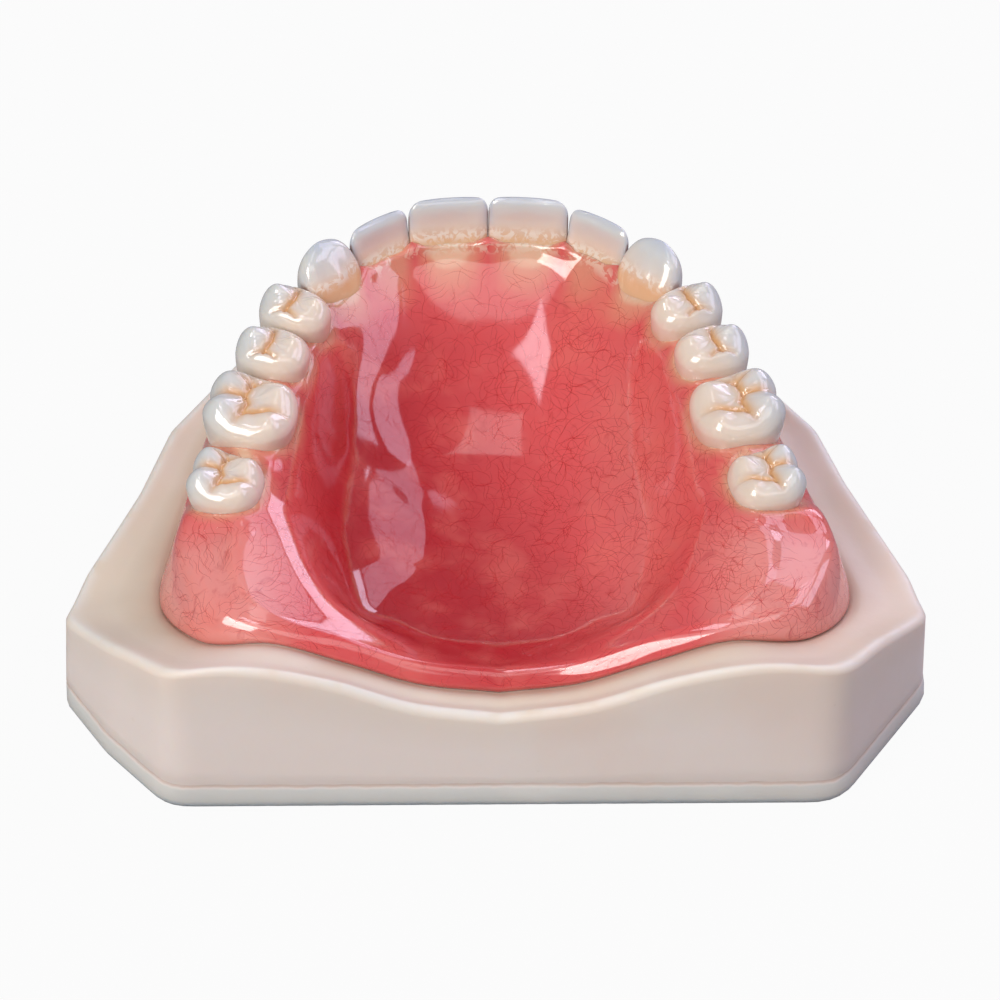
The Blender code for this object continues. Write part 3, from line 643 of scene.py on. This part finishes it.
def chewing_height(x, y, spec, around):
    """Height below the tallest cusp: ridged cusps, mesial and distal rims, and fissures."""
    stack = []
    for cx, cy, tip in spec["cusps"]:
        reach = np.hypot(cx, cy)
        ux, uy = -cx / reach, -cy / reach
        along = (x - cx) * ux + (y - cy) * uy
        aside = (y - cy) * ux - (x - cx) * uy
        fall = np.where(along > 0, CUSP_IN * along, CUSP_OUT * along)
        stack.append(tip - np.sqrt(fall**2 + (CUSP_ASIDE * aside) ** 2 + 0.09) + 0.30)
    for side in (END_RIM, -END_RIM):
        stack.append(-END_RIM_DROP - 1.6 * np.sqrt((2.1 * (x - side)) ** 2 + (0.5 * y) ** 2 + 0.03))
    height = np.log(np.exp(CUSP_BLEND * np.array(stack)).sum(axis=0)) / CUSP_BLEND
    height = -spec["dip"] + np.log1p(np.exp(DIP_BLEND * (height + spec["dip"]))) / DIP_BLEND
    for line in spec["lines"]:
        height = height - GROOVE_DEPTH * np.exp(-((line_distance(x, y, line) / GROOVE_WIDTH) ** 2))
    turn = np.arctan2(y, x)
    spokes = np.cos(7 * turn + 4 * around) + 0.8 * np.cos(12 * turn - 5 * around + 1)
    height = height + WRINKLE * spokes * ramp(around, 0.0, 0.3) * ramp(around, 0.85, -0.3)
    return height - CROWN_ROUND * (1 - np.sqrt(1 - ramp(around, 0.5, 0.5) ** 2))


def back_tooth(name, width):
    """Premolar or molar: a cusped chewing face on bulging sides that draw in to the neck."""
    spec = BACK_TEETH[name]
    half_w, half_a = 0.5 * width, 0.5 * spec["across"]
    x0, y0 = section(BACK_COLUMNS, half_w, half_a, 2.6, spec["taper"], spec["skew"])
    y0 = y0 - np.where(y0 > 0, spec["notch"] * np.exp(-((x0 / (0.24 * half_w)) ** 2)), 0)
    rings = []
    for share in [*np.linspace(0.03, 0.76, 28), *(0.42 + 0.58 * np.sin(np.linspace(0.68, 1.5, 12)))]:
        z = chewing_height(share * x0 / half_w, share * y0 / half_a, spec, share)
        rings.append(np.column_stack([share * x0, share * y0, z]))
    rim = rings[-1]
    for deep, share in smooth_through(np.arange(6), BACK_SIDE, np.linspace(0, 5, 18))[1:]:
        z = (1 - deep) * rim[:, 2] - deep * spec["depth"]
        rings.append(np.column_stack([share * x0, share * y0, z]))
    high = np.array([0, 0, float(chewing_height(np.zeros(1), np.zeros(1), spec, 0.0)[0])])
    return [high, *rings, np.array([0, 0, -spec["depth"] - 0.02])]


def tooth_acrylic():
    """Layered tooth acrylic: clear grey edge, ivory body, amber neck and fissures."""
    fixed = {"Roughness": 0.09, "IOR": 1.5, "Subsurface Weight": 0.30,
             "Subsurface Radius": (1.0, 0.75, 0.5), "Subsurface Scale": 0.0018, "Specular IOR Level": 1.0}
    look = Finish("tooth_acrylic", fixed)
    down = look.painted("down") + 0.5 * (look.noise(500, 2) - 0.5)
    colour = look.blend(ENAMEL, IVORY, look.painted("body"))
    colour = look.blend(colour, AMBER, down.rise(2.6, 5.8) * 0.85)
    colour = look.blend(colour, FISSURE, look.painted("fissure"))
    # pale flakes on the front crowns, partly a painted highlight
    shard = look.noise(700, 3, 0.6, 1.8).rise(0.46, 0.53)
    colour = look.blend(colour, FLAKE_SHEEN_COLOUR, look.painted("flakes_and_sheen") * shard * 0.75)
    colour = look.blend(colour, BLUE_EDGE, look.painted("edge") * 0.8)
    colour = look.blend(colour, CONTACT_SHADOW, look.painted("contact"))
    look.feed("Base Color", colour)
    look.bump(look.noise(420, 2), 0.06)
    return look.material


def paint_tooth(piece, name, own, width):
    """Painted values of a crown, from its points before it was placed."""
    u, down = own[:, 0] / (0.5 * width), -own[:, 2]
    fissure, edge, contact, flakes_and_sheen = np.zeros((4, len(own)))
    if name in BACK_TEETH:
        spec = BACK_TEETH[name]
        v = own[:, 1] / (0.5 * spec["across"])
        for line in spec["lines"]:
            gap = line_distance(u, v, line)
            stain = 0.62 * np.exp(-((gap / 0.16) ** 2)) + 0.25 * np.exp(-((gap / 0.07) ** 2))
            fissure = np.maximum(fissure, stain)
        fissure *= ramp(np.hypot(u, v), 0.95, -0.5) * (down < 3.2)
        amber = 0.85 - 0.3 * np.clip(v + 0.2, 0, 1)
        body = np.clip(0.50 - 0.75 * v + 0.08 * down + 0.5 * ramp(down, 1.5, 2.5), 0.05, 1)
    else:
        contact = ramp(np.abs(u), 0.955, 0.03) * ramp(down, 1.1, 0.4) * 0.8
        edge = np.clip(1 - down / 0.45, 0, 1) + ramp(np.abs(u), 0.86, 0.08)
        body = 0.85 * ramp(down, 0.4, 2.2) * np.clip((1.0 - np.abs(u)) / 0.3, 0.2, 1)
        film_edge = 2.7 if name == "canine" else 3.6
        # pale flakes with a painted highlight, just above the gum on the palate side
        flakes_and_sheen = np.exp(-(((down - film_edge) / 0.5) ** 2)) * (own[:, 1] < 0.8)
        palate_side = ramp(own[:, 1], 1.4, -0.8)
        amber = 0.7 + (0.85 if name == "canine" else 0.55) * palate_side
    paint(piece, "down", down * amber)
    paint(piece, "body", body)
    paint(piece, "edge", np.clip(edge, 0, 1) * ramp(down, 3.2, -2.0))
    paint(piece, "contact", contact)
    paint(piece, "flakes_and_sheen", flakes_and_sheen)
    paint(piece, "fissure", fissure)


def set_tooth(index, side, look):
    """One tooth in its place on the arch; side is 1 on the wearer's left and -1 on the right."""
    name, top, lean, nod = TEETH[index]
    back = name in BACK_TEETH
    shift = 0.0 if back else CONTACT_OUT
    contacts, outward = arch_line(np.array([index, index + 1.0]))
    a, b = contacts + shift * outward
    along = (a - b) / np.linalg.norm(a - b)
    out = np.array([along[1], -along[0]])
    if np.dot(out, 0.5 * (a + b) - np.array(PALATE)) < 0:
        out = -out
    width = np.linalg.norm(a - b) - CONTACT_GAP
    rings = back_tooth(name, width) if back else front_tooth(name, width)
    middle = 0.5 * (a + b)
    placed = []
    for ring in rings:
        x, y, z = np.atleast_2d(ring).T
        y = y + np.sin(np.radians(lean)) * (z + 6.0) - shift
        z = z + np.sin(np.radians(nod)) * x
        plan = middle + x[:, None] * along + y[:, None] * out
        placed.append(np.column_stack([plan[:, 0] * side, plan[:, 1], z + top]))
    piece = skin(f"{'left' if side > 0 else 'right'}_{name}_crown", placed, look)
    paint_tooth(piece, name, np.concatenate([np.atleast_2d(ring) for ring in rings]), width)
    return piece


enamel = tooth_acrylic()
crowns = []
for side, word in ((-1, "right"), (1, "left")):
    for index, (name, *_) in enumerate(TEETH):
        crown = set_tooth(index, side, enamel)
        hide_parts(f"{word}_{name}")
        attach(crown, "root")
        crowns.append(crown)

# the base shows peach where little acrylic lies over a tooth, FILM_REACH at most
trees = [BVHTree.FromObject(crown, bpy.context.evaluated_depsgraph_get()) for crown in crowns]
reach = FILM_REACH * MM
film = np.array([min(tree.find_nearest(vertex.co, reach)[3] or reach for tree in trees) / MM
                 for vertex in base.data.vertices])
front = ramp(spot[:, 1], 12.0, 6.0)
film = np.clip(1.05 - film / (1.1 + 0.9 * front), 0, 1) * (spot[:, 2] > 16.0)
whole_way = np.concatenate([half_way, half_way[-2:0:-1]])
# red wedges of thicker acrylic between the front teeth
from_contact = np.abs(whole_way - np.round(whole_way))
from_contact = np.concatenate([[1], np.tile(from_contact, len(base_rings) - 2), [1]])
wedge = np.clip(0.06 + (25.0 - spot[:, 2]) * 0.045, 0.03, 0.2)
film *= 1 - front * np.exp(-((from_contact / wedge) ** 2)) * 0.85
paint(base, "film", film * 0.9)
# pale flakes and a painted highlight along the front margin of the acrylic
paint(base, "margin_with_sheen", front * np.exp(-(((spot[:, 2] - 24.1) / 0.45) ** 2)) * (spot[:, 1] < 24.0))


# Fibres
# Short red threads stirred into the pink acrylic to look like small vessels. They lie just under
# the polish, curled anyhow in the palate and combed into stars where the heels were packed.

FIBRES_PER_MM2 = 1.2
FIBRE_LENGTH = (1.2, 5.2)
FIBRE_HALF_WIDTH = 0.019
FIBRE_CURL = 4.5
FIBRE_LIFT = 0.012
FIBRE_STEPS = 11
FIBRE_SWAY, FIBRE_WAVE = 0.06, 8.0
FIBRE_COLOUR = (0.66, 0.004, 0.010)
GRAIN_PULL = 0.55
STAR_PULL, STAR_REACH = 4.0, 6.0
STARS = [(-28.8, -24.2), (-28.5, -30.0), (32.1, -21.2)]


def fibre_tree():
    """Scatters flat threads over a surface, bends each one and lays it back on the surface."""
    graph = Graph(bpy.data.node_groups.new("acrylic_fibres", "GeometryNodeTree"))
    tree = graph.tree
    wanted = [("Surface", "Geometry"), ("Per square metre", "Float"), ("Shortest", "Float"),
              ("Longest", "Float"), ("Half width", "Float"), ("Curl", "Float"), ("Lift", "Float"),
              ("Material", "Material")]
    for name, kind in wanted:
        tree.interface.new_socket(name, in_out="INPUT", socket_type="NodeSocket" + kind)
    tree.interface.new_socket("Fibres", in_out="OUTPUT", socket_type="NodeSocketGeometry")
    entry = tree.nodes.new("NodeGroupInput")
    surface, density, shortest, longest, half_width, curl, lift, look = (
        Signal(graph, socket) for socket in entry.outputs[:8])

    def read(name, kind="FLOAT"):
        return graph.node("GeometryNodeInputNamedAttribute", {"data_type": kind}, {0: name})

    def store(geometry, name, value, kind="FLOAT"):
        inputs = {0: geometry, 2: name, 3: value}
        return graph.node("GeometryNodeStoreNamedAttribute", {"data_type": kind}, inputs)

    def chance(seed, low, high):
        return graph.node("FunctionNodeRandomValue", {"data_type": "FLOAT"}, {2: low, 3: high, 8: seed}, 1)

    def vector(operation, first, second=None):
        inputs = {0: first} if second is None else {0: first, 1: second}
        return graph.node("ShaderNodeVectorMath", {"operation": operation}, inputs)

    def scaled(direction, amount):
        return graph.node("ShaderNodeVectorMath", {"operation": "SCALE"}, {0: direction, 3: amount})

    place = graph.node("GeometryNodeInputPosition", {}, {})
    spots = graph.node("GeometryNodeDistributePointsOnFaces", {},
                       {0: surface, 4: density * read("fibres"), 6: 3})
    up = Signal(graph, spots.socket.node.outputs["Normal"])
    anyhow = graph.node("FunctionNodeRandomValue", {"data_type": "FLOAT_VECTOR"},
                        {0: (-1, -1, -1), 1: (1, 1, 1), 8: 1})
    combed = vector("ADD", anyhow, read("grain", "FLOAT_VECTOR"))
    beside = vector("NORMALIZE", vector("CROSS_PRODUCT", up, combed))
    toss = chance(9, -1.0, 1.0)
    side = toss.math("SIGN", toss)
    bend = (0.3 + curl * chance(4, 0.0, 1.0) * chance(5, 0.0, 1.0) * read("calm")) * side
    spots = store(spots, "start", place, "FLOAT_VECTOR")
    spots = store(spots, "beside", beside, "FLOAT_VECTOR")
    spots = store(spots, "ahead", vector("CROSS_PRODUCT", beside, up), "FLOAT_VECTOR")
    spots = store(spots, "bend", bend)
    spots = store(spots, "reach", chance(6, shortest, longest) * read("reach_share"))
    spots = store(spots, "phase", chance(7, 0.0, 6.3))
    spots = store(spots, "depth", chance(8, 0.0, 1.0))

    grid = graph.node("GeometryNodeMeshGrid", {}, {0: 1.0, 1: 2.0, 2: FIBRE_STEPS, 3: 2})
    axes = graph.node("ShaderNodeSeparateXYZ", {}, {0: place})
    thread = store(grid, "along", axes + 0.5)
    thread = store(thread, "edge", Signal(graph, axes.socket.node.outputs["Y"]))
    threads = graph.node("GeometryNodeInstanceOnPoints", {}, {0: spots, 2: thread})
    threads = graph.node("GeometryNodeRealizeInstances", {}, {0: threads})

    along, bend, reach, depth = read("along"), read("bend"), read("reach"), read("depth")
    turned = bend * along
    sine, cosine = turned.math("SINE", turned), turned.math("COSINE", turned)
    wave = along * FIBRE_WAVE + read("phase")
    sway = FIBRE_SWAY * wave.math("SINE", wave)
    middle = 2.0 * along - 1.0
    out = half_width * (1.0 + 2.0 * depth * depth * depth) * (1.0 - 0.7 * middle * middle) * read("edge")
    forward = reach * sine / bend - out * sine
    aside = reach * ((1.0 - cosine) / bend + sway) + out * cosine
    bent = vector("ADD", read("start", "FLOAT_VECTOR"), scaled(read("ahead", "FLOAT_VECTOR"), forward))
    bent = vector("ADD", bent, scaled(read("beside", "FLOAT_VECTOR"), aside))
    nearest = graph.node("GeometryNodeProximity", {}, {0: surface, 2: bent})
    facing = graph.node("GeometryNodeSampleNearestSurface", {"data_type": "FLOAT_VECTOR"},
                        {0: surface, 1: graph.node("GeometryNodeInputNormal", {}, {}), 3: bent})
    laid = vector("ADD", nearest, scaled(facing, lift))
    threads = graph.node("GeometryNodeSetPosition", {}, {0: threads, 2: laid})
    threads = graph.node("GeometryNodeRealizeInstances", {}, {0: threads})
    threads = graph.node("GeometryNodeSetMaterial", {}, {0: threads, 2: look})
    leave = tree.nodes.new("NodeGroupOutput")
    tree.links.new(threads.socket, leave.inputs[0])
    return tree


def fibre_look():
    """Dark red thread, clearer towards its ends and the deeper it lies, under the same polish."""
    look = Finish("acrylic_fibre", {"Base Color": (*FIBRE_COLOUR, 1), "Roughness": 0.07, "IOR": 1.5})
    middle = 2.0 * look.painted("along") - 1.0
    depth = look.painted("depth")
    look.feed("Alpha", (1.0 - 0.75 * middle * middle * middle * middle) * (0.62 - 0.50 * depth))
    return look.material


polished = np.arange(len(spot)) < 1 + (polished_rings - 1) * len(base_rings[1])
paint(base, "fibres", polished * np.clip(1.2 - 1.2 * film, 0.12, 1) * (1 - 0.4 * front))
grain = np.zeros_like(spot)
grain[:, 1] = GRAIN_PULL
star = np.zeros(len(spot))
for centre in STARS:
    away = spot[:, :2] - centre
    far = np.linalg.norm(away, axis=1)[:, None]
    near = np.exp(-((far / STAR_REACH) ** 2))
    grain[:, :2] += STAR_PULL * near * away / np.maximum(far, 0.2)
    star = np.maximum(star, near[:, 0])
paint(base, "grain", grain)
paint(base, "reach_share", 1.0 - 0.15 * star)
paint(base, "calm", 1.0 - 0.9 * star)

maker = bpy.data.objects.new("fibre_maker", base.data)
bpy.context.scene.collection.objects.link(maker)
scatter = maker.modifiers.new("fibres", "NODES")
scatter.node_group = fibre_tree()
sizes = {"Per square metre": FIBRES_PER_MM2 / MM**2, "Shortest": FIBRE_LENGTH[0] * MM,
         "Longest": FIBRE_LENGTH[1] * MM, "Half width": FIBRE_HALF_WIDTH * MM, "Curl": FIBRE_CURL,
         "Lift": FIBRE_LIFT * MM, "Material": fibre_look()}
for item in scatter.node_group.interface.items_tree:
    if item.name in sizes:
        scatter[item.identifier] = sizes[item.name]
grown = maker.evaluated_get(bpy.context.evaluated_depsgraph_get())
fibres = bpy.data.objects.new("acrylic_fibres", bpy.data.meshes.new_from_object(grown))
bpy.context.scene.collection.objects.link(fibres)
bpy.data.objects.remove(maker)
fibres.data.shade_smooth()
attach(fibres, "root")


# Floor, lamps and camera
# A pale sheet under the object, soft boxes round it and a low fill, and the photograph's view.

VIEW_TURN, VIEW_RISE, VIEW_ROLL = -2.4, 43.0, -1.35
VIEW_DISTANCE = 0.6
VIEW_TARGET = (0.0007, -0.0047, 0.0135)
LENS = 207.8
FILL = 0.22
FILL_COLOUR = (0.95, 0.97, 1.0)
FLOOR_HALF = 3.0
FLOOR_GLOW = 0.95
LAMP_DISTANCE = 0.7
# name, turn from the incisors towards the wearer's left, rise, width and height in degrees,
# radiance and colour
SOFT_BOXES = [("key", -140, 41, 31, 29, 7.0, (1.0, 0.97, 0.93)),
              ("side", 80, 29, 36, 20, 2.4, (0.82, 0.76, 1.0)),
              ("bridge", 77, 51, 30, 16, 2.3, (0.82, 0.76, 1.0)),
              ("window", 36, 45, 22, 28, 1.5, (0.82, 0.76, 1.0)),
              ("low", 34, 18, 28, 22, 3.9, (0.85, 0.78, 1.0)),
              ("top", -138, 74, 15, 11, 4.0, (0.90, 0.88, 1.0)),
              ("front", 180, 60, 70, 20, 1.35, (1.0, 0.97, 0.97)),
              ("ceiling", 8, 82, 11, 22, 1.2, (1.0, 1.0, 1.0))]

floor_mesh = bpy.data.meshes.new("floor")
corners = [(x * FLOOR_HALF, y * FLOOR_HALF, 0) for x, y in ((-1, -1), (1, -1), (1, 1), (-1, 1))]
floor_mesh.from_pydata(corners, [], [(0, 1, 2, 3)])
floor = bpy.data.objects.new("floor", floor_mesh)
bpy.context.scene.collection.objects.link(floor)
paper = Finish("white_paper", {"Base Color": (0.3, 0.3, 0.3, 1), "Roughness": 0.9})
glow = paper.node("ShaderNodeEmission", {}, {"Color": (1, 1, 1, 1), "Strength": 1.0})
seen = paper.node("ShaderNodeLightPath", {}, {}, "Is Camera Ray")
matt = Signal(paper, paper.shader.outputs[0])
sheet = paper.node("ShaderNodeMixShader", {}, {0: FLOOR_GLOW * seen, 1: matt, 2: glow})
paper.tree.links.new(sheet.socket, paper.tree.nodes["Material Output"].inputs["Surface"])
floor_mesh.materials.append(paper.material)

world = bpy.data.worlds.new("studio")
bpy.context.scene.world = world
world.use_nodes = True
world.node_tree.nodes["Background"].inputs["Color"].default_value = (*FILL_COLOUR, 1)
world.node_tree.nodes["Background"].inputs["Strength"].default_value = FILL

for name, lamp_turn, lamp_rise, wide, high, radiance, colour in SOFT_BOXES:
    lamp = bpy.data.lights.new(name, "AREA")
    lamp.shape = "RECTANGLE"
    lamp.size, lamp.size_y = 2 * LAMP_DISTANCE * np.tan(np.radians([wide / 2, high / 2]))
    lamp.energy = np.pi * lamp.size * lamp.size_y * radiance
    lamp.color = colour
    aim, up = np.radians([lamp_turn, lamp_rise])
    way = Vector((np.sin(aim) * np.cos(up), np.cos(aim) * np.cos(up), np.sin(up)))
    box = bpy.data.objects.new(name, lamp)
    box.location = way * LAMP_DISTANCE
    box.rotation_euler = way.to_track_quat("Z", "Y").to_euler()
    bpy.context.scene.collection.objects.link(box)

camera = bpy.data.objects.new("photo_camera", bpy.data.cameras.new("photo_camera"))
rise, turn, roll = np.radians([VIEW_RISE, VIEW_TURN, VIEW_ROLL])
backward = Vector((np.sin(turn) * np.cos(rise), -np.cos(turn) * np.cos(rise), np.sin(rise)))
level = (-backward).cross(Vector((0, 0, 1))).normalized()
upright = level.cross(-backward)
across = np.cos(roll) * level - np.sin(roll) * upright
upward = np.sin(roll) * level + np.cos(roll) * upright
stand = Matrix((across, upward, backward)).transposed().to_4x4()
stand.translation = Vector(VIEW_TARGET) + backward * VIEW_DISTANCE
camera.matrix_world = stand
camera.data.lens = LENS
camera.data.sensor_width = 36
camera.data.clip_start = 0.01
bpy.context.scene.collection.objects.link(camera)
bpy.context.scene.camera = camera
bpy.context.scene.view_settings.view_transform = "Standard"
